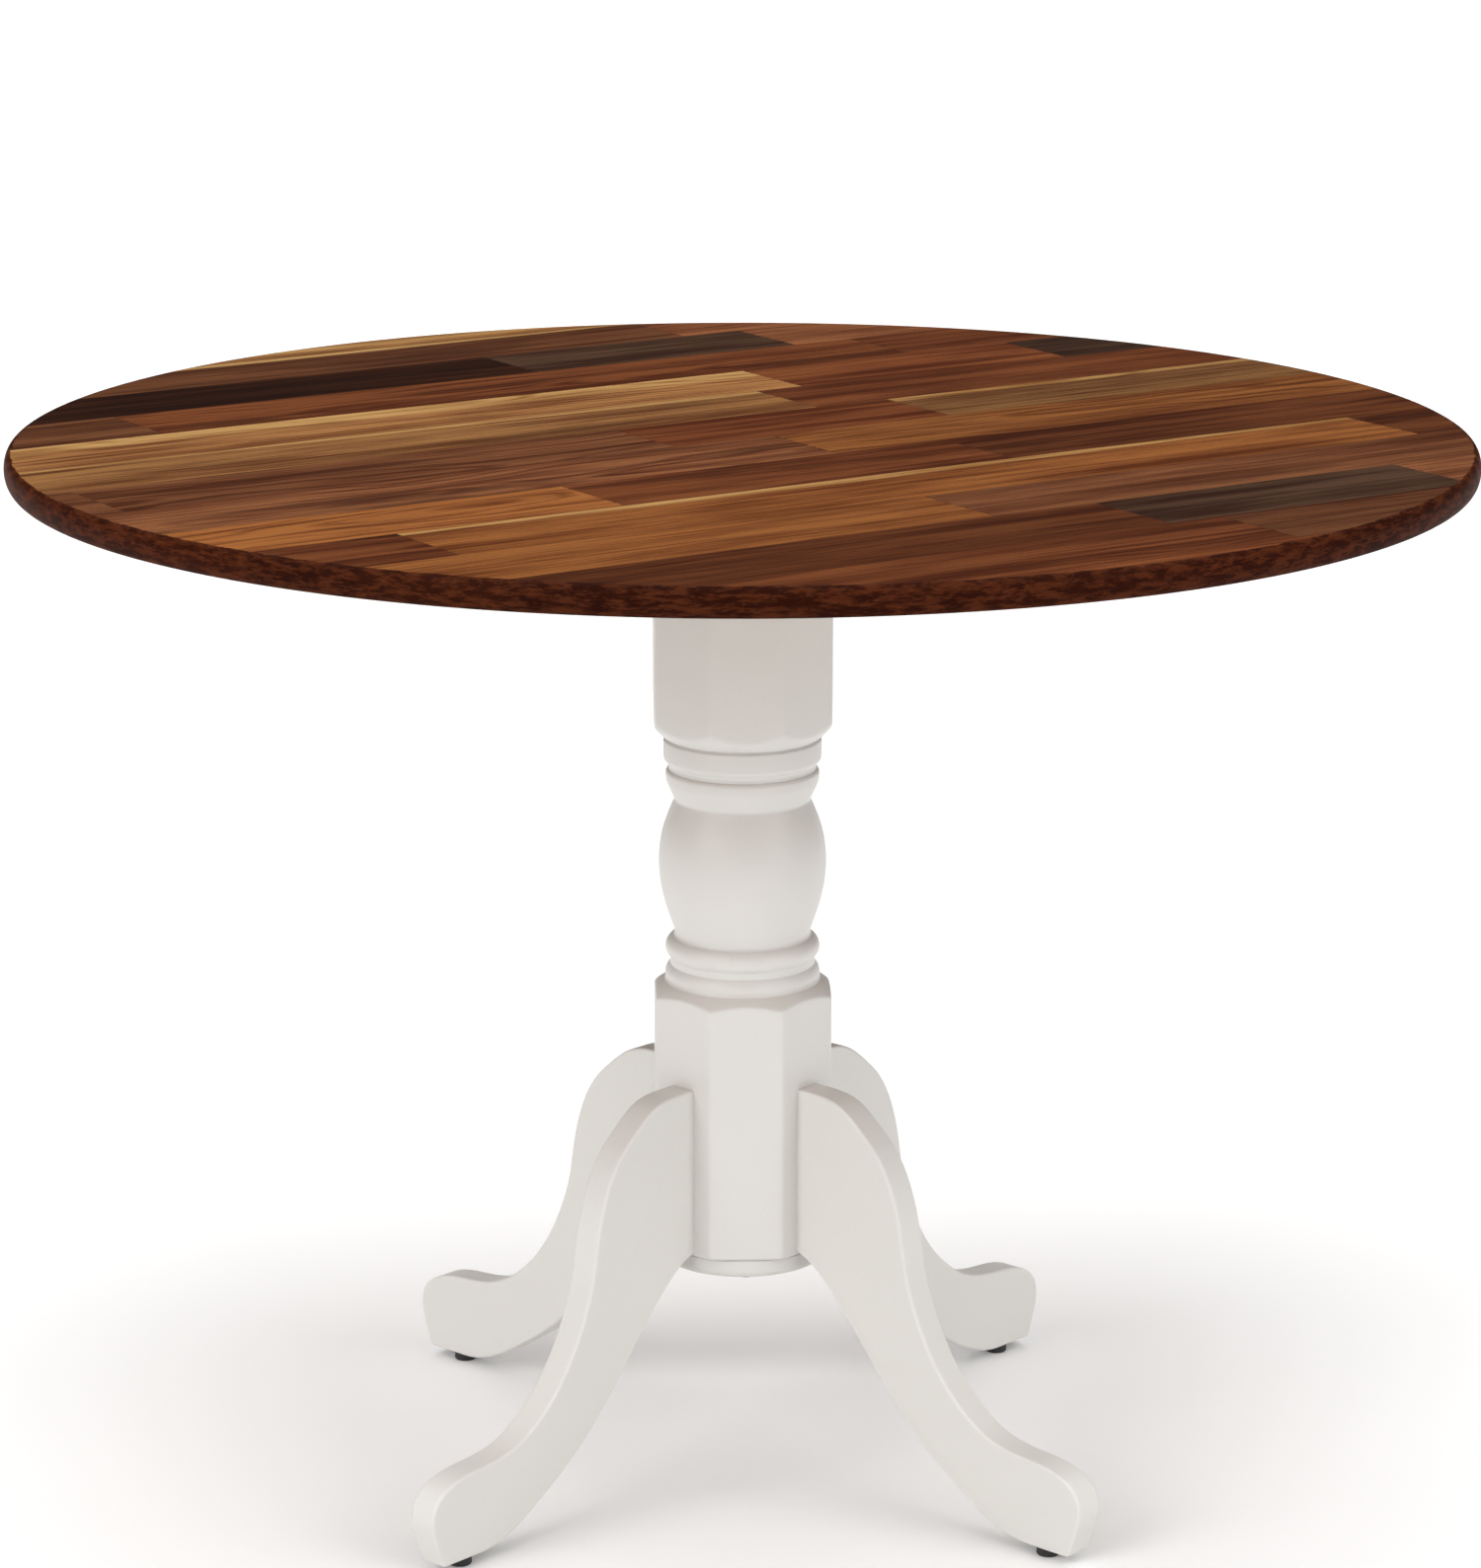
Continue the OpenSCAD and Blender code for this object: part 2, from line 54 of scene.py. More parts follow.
def size_of(node):
    lo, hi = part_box(node)
    return np.array(lo), np.array(hi)


top_lo, top_hi = size_of("table_top")
col_lo, col_hi = size_of("column")
leg_lo, _ = size_of("leg_back_right")
TOP_R = min(map(abs, (*top_lo[:2], *top_hi[:2])))
TOP_MIDDLE = (top_lo[2] + top_hi[2]) / 2
FLAT_R = (col_hi[0] - col_lo[0]) / 2
CORNER_R = FLAT_R / math.cos(math.radians(22.5))
COL_Z = col_lo[2]
BLOCK_Z = col_hi[2]             # the top of the column, where the tilt block lies on it
DOME_Z = COL_Z + 0.1912         # the top of the dome on the lower block
HEAD_Z = COL_Z + 0.3685         # the start of the head
SOLE_Z = leg_lo[2]


# ---------- sizes in metres, and angles ----------

# The battens and their block lie as in CAD, and the staves as in the photograph
GRAIN = math.radians(30)
TOP_GRAIN = math.radians(30.7)

TOP_EDGE = 0.005        # how far in from the rim its rounding starts
TOP_SIDES = 360
STAIN_FROM = 0.0056     # how far in from the rim its stain starts and is full
STAIN_FULL = 0.0048

# Rounding of the column: round its foot, along its eight corners, and where the turning meets the flats
COLUMN_FOOT_EASE = 0.0016
COLUMN_CORNER_EASE = 0.0018
COLUMN_CUT_EASE = 0.0011

LEG_HALF = 0.011
LEG_EASE = 0.0019
LEG_ANGLES = {"leg_front_left": 225, "leg_front_right": 315, "leg_back_right": 45, "leg_back_left": 135}

# Rows of staves: their width, where row 0 starts, and a place past the rim where each row ends
STAVE_W = 0.0795
STAVE_FROM = -0.009
END = 1.0

# The camera is turned about the table's axis, then pitched down
TURN = math.radians(2.4)
PITCH = math.radians(14.03)
CAMERA_AT = (-0.0014, -3.5936, 1.39795)
LENS_MM = 120.73
SENSOR_MM = 36
CLIP_END = 200
FLOOR_R = 60.0


# ---------- colours, linear ----------

def srgb(r, g, b):
    """Linear colour of 0..255 values."""
    return tuple(((c / 255 + 0.055) / 1.055) ** 2.4 if c > 10 else c / 255 / 12.92 for c in (r, g, b))


HUES = {
    "red": srgb(100, 52, 27),
    "brown": srgb(105, 61, 37),
    "gold": srgb(120, 69, 34),
    "olive": srgb(115, 75, 43),
    "grey": srgb(90, 61, 45),
}
WHITE = (1.0, 1.0, 1.0)
SAP_DARK = srgb(146, 98, 50)
SAP_LIGHT = srgb(204, 164, 104)
GLUE = (0.02, 0.011, 0.007)
RIM_DARK = (0.014, 0.0025, 0.001)
RIM_LIGHT = (0.062, 0.015, 0.005)
RIM_FLECK = (0.11, 0.035, 0.015)
PAINT_LIGHT = (0.70, 0.68, 0.65)
PAINT_DARK = (0.67, 0.655, 0.625)
PAINT_SPECK = (0.50, 0.47, 0.42)
BIRCH_DARK = (0.34, 0.20, 0.10)
BIRCH_LIGHT = (0.66, 0.47, 0.28)
BIRCH_FLECK = (0.25, 0.14, 0.07)

BRASS_DARK = (0.52, 0.36, 0.14)
BRASS_LIGHT = (0.76, 0.58, 0.28)
STEEL_DARK = (0.46, 0.46, 0.47)
STEEL_LIGHT = (0.68, 0.68, 0.69)
PLASTIC_DARK = (0.010, 0.010, 0.011)
PLASTIC_LIGHT = (0.026, 0.026, 0.027)
FELT_DARK = (0.018, 0.05, 0.026)
FELT_LIGHT = (0.10, 0.18, 0.11)
FLOOR_DARK = (0.90, 0.90, 0.90)
FLOOR_LIGHT = (0.93, 0.93, 0.93)

# What the colour of the walnut is multiplied by, in shade and light of its figure and in its features
DARK_TINT = (0.50, 0.38, 0.30)
LIGHT_TINT = (1.55, 1.75, 1.7)
STREAK_TINT = (0.36, 0.33, 0.36)
PORE_TINT = (0.42, 0.36, 0.34)
RIM_TINT = (0.5, 0.3, 0.2)


# ---------- node materials ----------

class Nodes:
    """A material's node tree, built by short calls."""

    def __init__(self, name):
        self.mat = bpy.data.materials.new(name)
        self.mat.use_nodes = True
        self.tree = self.mat.node_tree
        self.tree.nodes.clear()
        output = self.tree.nodes.new("ShaderNodeOutputMaterial")
        self.bsdf = self.tree.nodes.new("ShaderNodeBsdfPrincipled")
        self.tree.links.new(self.bsdf.outputs[0], output.inputs["Surface"])
        self.coord = self.tree.nodes.new("ShaderNodeTexCoord").outputs["Object"]

    def put(self, socket, value):
        if isinstance(value, bpy.types.NodeSocket):
            self.tree.links.new(value, socket)
        elif value is not None:
            socket.default_value = value

    def math(self, op, a, b=None, c=None, clamp=False):
        n = self.tree.nodes.new("ShaderNodeMath")
        n.operation = op
        n.use_clamp = clamp
        for i, v in enumerate((a, b, c)):
            self.put(n.inputs[i], v)
        return n.outputs[0]

    def sway(self, base, value, amount):
        """base, plus amount times how far value is from a half."""
        return self.math("MULTIPLY_ADD", self.math("SUBTRACT", value, 0.5), amount, base)

    def vec(self, op, a, b=None):
        n = self.tree.nodes.new("ShaderNodeVectorMath")
        n.operation = op
        self.put(n.inputs[0], a)
        self.put(n.inputs[1], b)
        return n.outputs["Value" if op == "LENGTH" else "Vector"]

    def split(self, v):
        n = self.tree.nodes.new("ShaderNodeSeparateXYZ")
        self.put(n.inputs[0], v)
        return n.outputs[0], n.outputs[1], n.outputs[2]

    def join(self, x, y, z):
        n = self.tree.nodes.new("ShaderNodeCombineXYZ")
        for i, v in enumerate((x, y, z)):
            self.put(n.inputs[i], v)
        return n.outputs[0]

    def scaled(self, point, scales):
        """A point with each of its three coordinates multiplied by its own scale."""
        return self.join(*(self.math("MULTIPLY", v, s) for v, s in zip(point, scales)))

    def turn(self, v, angle):
        """A point turned about the upright axis."""
        n = self.tree.nodes.new("ShaderNodeVectorRotate")
        n.rotation_type = "AXIS_ANGLE"
        self.put(n.inputs["Vector"], v)
        n.inputs["Axis"].default_value = (0, 0, 1)
        n.inputs["Angle"].default_value = angle
        return n.outputs[0]

    def noise(self, v, scale, detail, rough, distort=0.0):
        n = self.tree.nodes.new("ShaderNodeTexNoise")
        self.put(n.inputs["Vector"], v)
        n.inputs["Scale"].default_value = scale
        n.inputs["Detail"].default_value = detail
        n.inputs["Roughness"].default_value = rough
        n.inputs["Distortion"].default_value = distort
        return n.outputs["Fac"]

    def cells(self, v, scale):
        n = self.tree.nodes.new("ShaderNodeTexVoronoi")
        n.feature = "F1"
        self.put(n.inputs["Vector"], v)
        n.inputs["Scale"].default_value = scale
        return n.outputs["Distance"]

    def ramp(self, v, stops):
        """Grey level at v, eased between stops of (place, level)."""
        n = self.tree.nodes.new("ShaderNodeValToRGB")
        n.color_ramp.interpolation = "EASE"
        while len(n.color_ramp.elements) < len(stops):
            n.color_ramp.elements.new(0.5)
        for element, (at, level) in zip(n.color_ramp.elements, stops):
            element.position = at
            element.color = (level, level, level, 1)
        self.put(n.inputs[0], v)
        return n.outputs[0]

    def band(self, v, a, b, to_a=0.0, to_b=1.0):
        """A smooth step from to_a, where v is a, to to_b, where v is b."""
        n = self.tree.nodes.new("ShaderNodeMapRange")
        n.interpolation_type = "SMOOTHSTEP"
        for i, value in enumerate((v, a, b, to_a, to_b)):
            self.put(n.inputs[i], value)
        return n.outputs[0]

    def mix(self, fac, a, b, mode="MIX"):
        n = self.tree.nodes.new("ShaderNodeMix")
        n.data_type = "RGBA"
        n.blend_type = mode
        self.put(n.inputs[0], fac)
        for s, v in ((n.inputs[6], a), (n.inputs[7], b)):
            self.put(s, (*v, 1) if isinstance(v, tuple) else v)
        return n.outputs[2]

    def tint(self, a, b):
        """Two colours multiplied."""
        return self.mix(1.0, a, b, "MULTIPLY")

    def attribute(self, name, kind="Fac"):
        n = self.tree.nodes.new("ShaderNodeAttribute")
        n.attribute_name = name
        return n.outputs[kind]

    def bump(self, height, distance, strength, normal=None):
        n = self.tree.nodes.new("ShaderNodeBump")
        n.inputs["Strength"].default_value = strength
        n.inputs["Distance"].default_value = distance
        self.put(n.inputs["Height"], height)
        self.put(n.inputs["Normal"], normal)
        return n.outputs[0]

    def round_edges(self, radius):
        """The normal the surface would have with its edges rounded."""
        n = self.tree.nodes.new("ShaderNodeBevel")
        n.samples = 4
        n.inputs["Radius"].default_value = radius
        return n.outputs[0]

    def finish(self, color, rough, normal, **fixed):
        """The material. fixed is what is the same all over, set on the shader's own sockets."""
        for key, value in (("Base Color", color), ("Roughness", rough), ("Normal", normal)):
            self.put(self.bsdf.inputs[key], value)
        for key, value in fixed.items():
            self.bsdf.inputs[key.replace("_", " ")].default_value = value
        return self.mat


def grain(m, along, across, depth, ring, figure):
    """Late wood, fibre, streak and pores, 0 to 1 each, of wood with its rings round an axis along the grain.
    along, across and depth are in metres; ring is the ring width; figure is how much the rings wander."""
    place = (along, across, depth)
    slow = m.scaled(place, (2.6, 11, 11))
    x = m.sway(across, m.noise(slow, 1.0, 2.0, 0.5), figure)
    y = m.sway(depth, m.noise(m.vec("ADD", slow, (7.3, 2.9, 5.1)), 1.0, 2.0, 0.5), figure)
    radius = m.math("SQRT", m.math("ADD", m.math("MULTIPLY", x, x), m.math("MULTIPLY", y, y)))
    turns = m.math("DIVIDE", radius, ring)
    uneven = m.noise(m.scaled((along, turns, 0.0), (0.8, 0.35, 1)), 1.0, 1.0, 0.5)
    turns = m.math("MULTIPLY_ADD", uneven, 2.2, turns)
    phase = m.math("FRACT", turns)
    late = m.ramp(phase, [(0.0, 0.55), (0.16, 0.12), (0.55, 0.22), (0.86, 0.72), (1.0, 0.55)])
    fibre = m.noise(m.scaled(place, (14, 620, 620)), 1.0, 3.0, 0.6)
    streak = m.noise(m.scaled(place, (2.2, 85, 85)), 1.0, 3.0, 0.55)
    pores = m.noise(m.scaled(place, (55, 1500, 1500)), 1.0, 1.0, 0.5)
    return late, fibre, streak, pores


def walnut(name, rough, gloss):
    """Staves of the top, each told apart by what top_mesh writes on its faces."""
    m = Nodes(name)
    t, s, z = m.split(m.turn(m.coord, -TOP_GRAIN))
    middle_s, middle_t, half_t = m.split(m.attribute("stave_middle", "Vector"))
    heart_s, heart_z, seed = m.split(m.attribute("stave_heart", "Vector"))
    figure, sap_at, sap_w = m.split(m.attribute("stave_look", "Vector"))
    tone = m.attribute("stave_tone", "Color")
    a = m.math("SUBTRACT", s, middle_s)
    b = m.math("SUBTRACT", t, middle_t)
    along = m.math("MULTIPLY_ADD", seed, 7.0, b)
    across = m.math("SUBTRACT", a, heart_s)
    depth = m.math("SUBTRACT", m.math("SUBTRACT", z, TOP_MIDDLE), heart_z)
    late, fibre, streak, pores = grain(m, along, across, depth, 0.0052, 0.055)
    broad = m.noise(m.scaled((along, across, 3.0), (4.0, 26, 1)), 1.0, 3.0, 0.6)
    light = m.math("MULTIPLY", m.math("SUBTRACT", 0.42, late), figure)
    light = m.sway(light, streak, 2.2)
    light = m.sway(light, fibre, 1.3)
    light = m.sway(light, broad, 2.4)
    light = m.math("ADD", light, 0.5, clamp=True)
    low = m.mix(m.math("MULTIPLY", light, 2.0, clamp=True), DARK_TINT, WHITE)
    high = m.mix(m.math("MULTIPLY_ADD", light, 2.0, -1.0, clamp=True), WHITE, LIGHT_TINT)
    color = m.tint(m.tint(tone, low), high)

    # Dark heartwood streaks, sapwood along one side, pores and glue lines
    wander = m.noise(m.scaled((along, across, 0.0), (3.2, 34, 1)), 1.0, 3.0, 0.6)
    dark = m.math("MULTIPLY", m.band(wander, 0.53, 0.64), m.attribute("stave_dark"))
    color = m.mix(dark, color, m.tint(tone, STREAK_TINT))
    from_sap = m.math("ABSOLUTE", m.sway(m.math("SUBTRACT", a, sap_at), wander, 0.018))
    sap = m.band(from_sap, m.math("MULTIPLY", sap_w, 0.35), sap_w, 1.0, 0.0)
    sap = m.math("MULTIPLY", sap, m.math("GREATER_THAN", sap_w, 0.0001))
    color = m.mix(m.math("MULTIPLY", sap, 0.75), color, m.mix(light, SAP_DARK, SAP_LIGHT))
    pore = m.band(pores, 0.60, 0.70)
    color = m.mix(m.math("MULTIPLY", pore, 0.38), color, m.tint(color, PORE_TINT))
    side = m.math("SUBTRACT", 0.5 * STAVE_W, m.math("ABSOLUTE", a))
    end = m.math("SUBTRACT", half_t, m.math("ABSOLUTE", b))
    glue = m.band(m.math("MINIMUM", side, end), 0.0001, 0.0005, 1.0, 0.0)
    color = m.mix(m.math("MULTIPLY", glue, 0.55), color, GLUE)

    # The stained rim, mottled the same way all round
    chips = m.noise(m.vec("MULTIPLY", m.coord, (90, 90, 90)), 1.0, 3.0, 0.6)
    x, y, _ = m.split(m.coord)
    radius = m.sway(m.vec("LENGTH", m.join(x, y, 0.0)), chips, 0.0045)
    rim = m.band(radius, TOP_R - STAIN_FROM, TOP_R - STAIN_FULL)
    bark = m.noise(m.vec("MULTIPLY", m.coord, (60, 60, 260)), 1.0, 4.0, 0.72)
    flecks = m.noise(m.vec("MULTIPLY", m.coord, (130, 130, 700)), 1.0, 2.0, 0.6)
    stain = m.mix(m.band(bark, 0.42, 0.62), RIM_DARK, RIM_LIGHT)
    stain = m.mix(m.math("MULTIPLY", m.band(flecks, 0.60, 0.72), 0.35), stain, RIM_FLECK)
    stain = m.mix(0.12, stain, m.tint(tone, RIM_TINT))
    color = m.mix(rim, color, stain)

    height = m.math("MULTIPLY_ADD", fibre, 0.5, m.math("MULTIPLY", m.math("ADD", pore, glue), -0.5))
    rough = m.math("MULTIPLY_ADD", fibre, 0.06, rough)
    return m.finish(color, rough, m.bump(height, 0.00008, 0.4), IOR=1.45, Specular_IOR_Level=gloss)


def painted():
    m = Nodes("satin_paint")
    broad = m.noise(m.coord, 9.0, 2.0, 0.5)
    brush = m.noise(m.scaled(m.split(m.coord), (380, 380, 22)), 1.0, 3.0, 0.55)
    peel = m.noise(m.coord, 900.0, 2.0, 0.5)
    speck = m.band(m.noise(m.coord, 260.0, 1.0, 0.5), 0.70, 0.76)
    color = m.mix(broad, PAINT_DARK, PAINT_LIGHT)
    color = m.mix(m.math("MULTIPLY", speck, 0.10), color, PAINT_SPECK)
    height = m.math("MULTIPLY_ADD", peel, 0.35, m.math("MULTIPLY", brush, 0.65))
    rough = m.math("MULTIPLY_ADD", brush, 0.10, 0.38)
    return m.finish(color, rough, m.bump(height, 0.00009, 0.5), IOR=1.47, Specular_IOR_Level=0.45)


def birch(angle, name):
    m = Nodes(name)
    t, s, z = m.split(m.turn(m.coord, -angle))
    along = m.math("ADD", t, 3.0)
    across = m.math("ADD", s, 0.03)
    depth = m.math("SUBTRACT", z, 0.55)
    late, fibre, streak, pores = grain(m, along, across, depth, 0.0045, 0.04)
    light = m.math("MULTIPLY", m.math("SUBTRACT", 0.5, late), 0.45)
    light = m.sway(light, streak, 0.8)
    light = m.sway(light, fibre, 0.6)
    light = m.math("ADD", light, 0.5, clamp=True)
    fleck = m.band(pores, 0.62, 0.72)
    color = m.mix(light, BIRCH_DARK, BIRCH_LIGHT)
    color = m.mix(m.math("MULTIPLY", fleck, 0.25), color, BIRCH_FLECK)
    rough = m.math("MULTIPLY_ADD", fibre, 0.15, 0.42)
    height = m.math("SUBTRACT", fibre, m.math("MULTIPLY", fleck, 0.6))
    normal = m.bump(height, 0.00010, 0.5, m.round_edges(0.0012))
    return m.finish(color, rough, normal, IOR=1.46, Specular_IOR_Level=0.4)


def metal(name, dark, light, rough, scales):
    m = Nodes(name)
    lines = m.noise(m.scaled(m.split(m.coord), scales), 1.0, 3.0, 0.6)
    cloud = m.noise(m.coord, 120.0, 3.0, 0.6)
    mixed = m.math("MULTIPLY_ADD", cloud, 0.6, m.math("MULTIPLY", lines, 0.4))
    rough = m.math("MULTIPLY_ADD", mixed, 0.22, rough - 0.11)
    normal = m.bump(lines, 0.00003, 0.4, m.round_edges(0.0004))
    return m.finish(m.mix(mixed, dark, light), rough, normal, Metallic=1.0)


def black_plastic():
    m = Nodes("black_plastic")
    pebble = m.cells(m.coord, 1400.0)
    cloud = m.noise(m.coord, 160.0, 2.0, 0.5)
    color = m.mix(cloud, PLASTIC_DARK, PLASTIC_LIGHT)
    rough = m.math("MULTIPLY_ADD", cloud, 0.2, 0.45)
    return m.finish(color, rough, m.bump(pebble, 0.00006, 0.4), Specular_IOR_Level=0.45)


def felt():
    m = Nodes("green_felt")
    hair = m.noise(m.coord, 1500.0, 4.0, 0.7, 1.2)
    clump = m.noise(m.coord, 240.0, 3.0, 0.6)
    light = m.math("MULTIPLY_ADD", hair, 0.6, m.math("MULTIPLY", clump, 0.4))
    color = m.mix(light, FELT_DARK, FELT_LIGHT)
    return m.finish(color, 0.95, m.bump(hair, 0.0003, 0.7), Sheen_Weight=0.5, Sheen_Roughness=0.5)


# ---------- mesh helpers ----------

def points(*pairs):
    return [np.array(p) for p in pairs]


def curve(a, b, c, d, t):
    """Place t, from 0 to 1, on the curve from a to d that b and c pull on."""
    return (1 - t) ** 3 * a + 3 * t * (1 - t) ** 2 * b + 3 * t * t * (1 - t) * c + t ** 3 * d


def heading(degrees):
    return np.array((math.cos(math.radians(degrees)), math.sin(math.radians(degrees))))


def flow(nodes, n):
    """Smooth line through nodes of (x, y, heading, reach), without its last point."""
    out = []
    for p, q in zip(nodes, nodes[1:]):
        p0, q0 = points(p[:2], q[:2])
        p1 = p0 + p[3] * heading(p[2])
        q1 = q0 - q[3] * heading(q[2])
        out += [curve(p0, p1, q1, q0, k / n) for k in range(n)]
    return out


def arc(x, y, r, a, b, n):
    """An arc about (x, y) from angle a to angle b, in degrees, in n steps."""
    return [np.array((x, y)) + r * heading(a + (b - a) * k / n) for k in range(n + 1)]


def soft_min(a, b, width):
    """The smaller of a and b, with the change from one to the other rounded over a width."""
    return 0.5 * (a + b - math.sqrt((a - b) ** 2 + width ** 2))


def ring_faces(rings, n):
    """Faces between rings of n points each, and one face to close each end."""
    faces = [(i * n + j, i * n + (j + 1) % n, (i + 1) * n + (j + 1) % n, (i + 1) * n + j)
             for i in range(rings - 1) for j in range(n)]
    faces.append(tuple(range(n - 1, -1, -1)))
    faces.append(tuple((rings - 1) * n + j for j in range(n)))
    return faces


def lathe(rows, angles, radius):
    """Closed surface round the axis: a ring at each row's height, radius(row, angle) from the axis."""
    verts = []
    for row in rows:
        for a in angles:
            r = radius(row, a)
            verts.append((r * math.cos(a), r * math.sin(a), row.z))
    return verts, ring_faces(len(rows), len(angles))


def add(name, data):
    """A new object with this data, in the scene."""
    ob = bpy.data.objects.new(name, data)
    bpy.context.scene.collection.objects.link(ob)
    return ob


def piece(name, me, body, node):
    """A piece of the table that rides on a body and stands for a CAD node."""
    me.polygons.foreach_set("use_smooth", [True] * len(me.polygons))
    ob = add(name, me)
    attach(ob, body)
    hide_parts(node)
    return ob


def painted_piece(name, verts, faces, node):
    """A painted piece of the base."""
    me = bpy.data.meshes.new(name)
    me.from_pydata(verts, [], faces)
    me.validate()
    me.materials.append(paint)
    return piece(name, me, "base", node)


# ---------- column ----------

Row = namedtuple("Row", "r z inset")


def octagon(a):
    """Distance to an eight-sided prism's face at angle a, with its corners eased."""
    step = math.pi / 4
    off = (a + step / 2) % step - step / 2
    return soft_min(FLAT_R / math.cos(off), FLAT_R / math.cos(step - abs(off)), COLUMN_CORNER_EASE)


def column_rows():
    """Rows from the underside up: the same turning as in CAD, in finer steps."""
    neck = 0.048
    bulb = 0.0594
    bead = 0.0546
    groove = 0.0515
    collar = 0.0559
    past_corners = CORNER_R + 0.02
    d, h = DOME_Z, HEAD_Z
    turned = arc(CORNER_R - 0.0408, d - 0.053, 0.060, 30, 62, 40)
    turned += arc(bead - 0.0096, d + 0.0045, 0.010, 0, 50, 14)
    turned += points((groove, d + 0.0128), (groove, d + 0.0138))
    turned += arc(bead - 0.0082, d + 0.024, 0.0084, -58, 74, 20)
    turned += flow([(neck, d + 0.0358, 70, 0.016), (bulb, d + 0.0863, 90, 0.020),
                    (neck, h - 0.0455, 114, 0.014)], 30)
    turned += flow([(neck, h - 0.0455, 64, 0.005), (bead - 0.0003, h - 0.030, 82, 0.004)], 10)
    turned += arc(bead - 0.0037, h - 0.0266, 0.0034, 0, 76, 8)
    turned += points((groove + 0.0009, h - 0.0229), (groove + 0.0005, h - 0.0223),
                     (groove + 0.0005, h - 0.0197), (groove + 0.0009, h - 0.0190))
    turned += arc(collar - 0.004, h - 0.0145, 0.004, -78, 0, 8)
    turned += points((collar, h - 0.0032), (collar - 0.0002, h - 0.0025), (collar - 0.0008, h - 0.0020),
                     (collar - 0.0024, h - 0.0017), (collar - 0.0028, h - 0.0013),
                     (collar - 0.0028, h - 0.0002))
    turned += arc(CORNER_R - 0.0357, h + 0.0324, 0.040, -54, -10, 36)
    ease = COLUMN_FOOT_EASE
    rows = [Row(past_corners, COL_Z + ease * (1 - math.cos(a)), ease * (1 - math.sin(a)))
            for a in np.linspace(0, math.pi / 2, 6)]
    rows += [Row(past_corners, z, 0) for z in np.linspace(COL_Z + 0.004, turned[0][1] - 0.002, 8)]
    rows += [Row(r, z, 0) for r, z in turned]
    rows += [Row(past_corners, z, 0) for z in np.linspace(turned[-1][1] + 0.002, BLOCK_Z, 8)]
    return rows


def column_angles():
    """Close together at the eight corners, and further apart on the flats."""
    corner = (-2.4, -1.6, -1.1, -0.7, -0.35, 0, 0.35, 0.7, 1.1, 1.6, 2.4)
    angles = [c * math.pi / 4 + math.pi / 8 + math.radians(o) for c in range(8) for o in corner]
    angles += [c * math.pi / 4 + math.radians(o) for c in range(8) for o in np.linspace(-19, 19, 15)]
    return sorted(angles)


def on_column(row, a):
    """The turned radius or the octagon's, whichever is smaller."""
    return soft_min(octagon(a), row.r, COLUMN_CUT_EASE) - row.inset


# ---------- legs ----------

def leg_outline():
    """Side view, clockwise from the top of the joint round the toe to the bottom of the joint."""
    root = FLAT_R - 0.003
    knee = flow([(FLAT_R, 0.2905, 0, 0.037), (0.129, 0.266, -41, 0.036), (0.1635, 0.181, -79.5, 0.020),
                 (0.208, 0.098, -43, 0.035), (0.279, 0.069, -3.5, 0.030), (0.321, 0.029, -106, 0.029)], 22)
    toe = points((0.321, 0.029), (0.3176, 0.0194), (0.3145, 0.0108), (0.3137, SOLE_Z + 0.0020),
                 (0.3128, SOLE_Z + 0.0007), (0.3112, SOLE_Z))
    sole = flow([(0.300, SOLE_Z, 180, 0.006), (0.279, SOLE_Z, 180, 0.026), (0.202, 0.040, 147, 0.038),
                 (0.129, 0.109, 130.5, 0.031), (FLAT_R, 0.1695, 164, 0.023)], 22)
    return points((root, 0.2905)) + knee + toe + sole + points((FLAT_R, 0.1695), (root, 0.1703))


def inset(outline, d):
    """Outline moved inwards by d, for an outline that runs clockwise."""
    n = len(outline)
    out = []
    for i in range(n):
        a, b, c = outline[i - 1], outline[i], outline[(i + 1) % n]
        u = (b - a) / np.linalg.norm(b - a)
        v = (c - b) / np.linalg.norm(c - b)
        inward_u = np.array((u[1], -u[0]))
        inward_v = np.array((v[1], -v[0]))
        out.append(b + (inward_u + inward_v) * (d / max(0.5, 1 + float(inward_u @ inward_v))))
    return out


def leg_mesh(angle):
    """The outline as rings from one face of the leg to the other, inset where the edges are rounded."""
    outline = leg_outline()
    rings = [(LEG_EASE + 0.0012, LEG_HALF), (LEG_EASE, LEG_HALF)]
    rings += [(LEG_EASE * (1 - math.sin(a)), LEG_HALF - LEG_EASE * (1 - math.cos(a)))
              for a in np.linspace(0.3, math.pi / 2, 5)]
    rings += [(0, LEG_HALF - LEG_EASE - 0.0015)]
    rings += [(d, -w) for d, w in reversed(rings)]
    c, s = math.cos(angle), math.sin(angle)
    verts = [(p[0] * c + w * s, p[0] * s - w * c, p[1]) for d, w in rings for p in inset(outline, d)]
    return verts, ring_faces(len(rings), len(outline))


def turn_faces_outwards(me):
    bm = bmesh.new()
    bm.from_mesh(me)
    bmesh.ops.recalc_face_normals(bm, faces=bm.faces)
    bm.to_mesh(me)
    bm.free()


# ---------- butcher-block top ----------

Stave = namedtuple("Stave", "to colour heart figure sap dark")


def stave(to, hue, light, heart=(0.07, -0.03), figure=0.5, sap=(0, 0), dark=0.0):
    """A stave that ends at `to` along the grain: its hue and how light it is, the place of its heart
    across and below it, how strong its figure is, the middle and width of its sapwood, and how much of it
    is dark streak."""
    return Stave(to, [light * c for c in HUES[hue]], heart, figure, sap, dark)


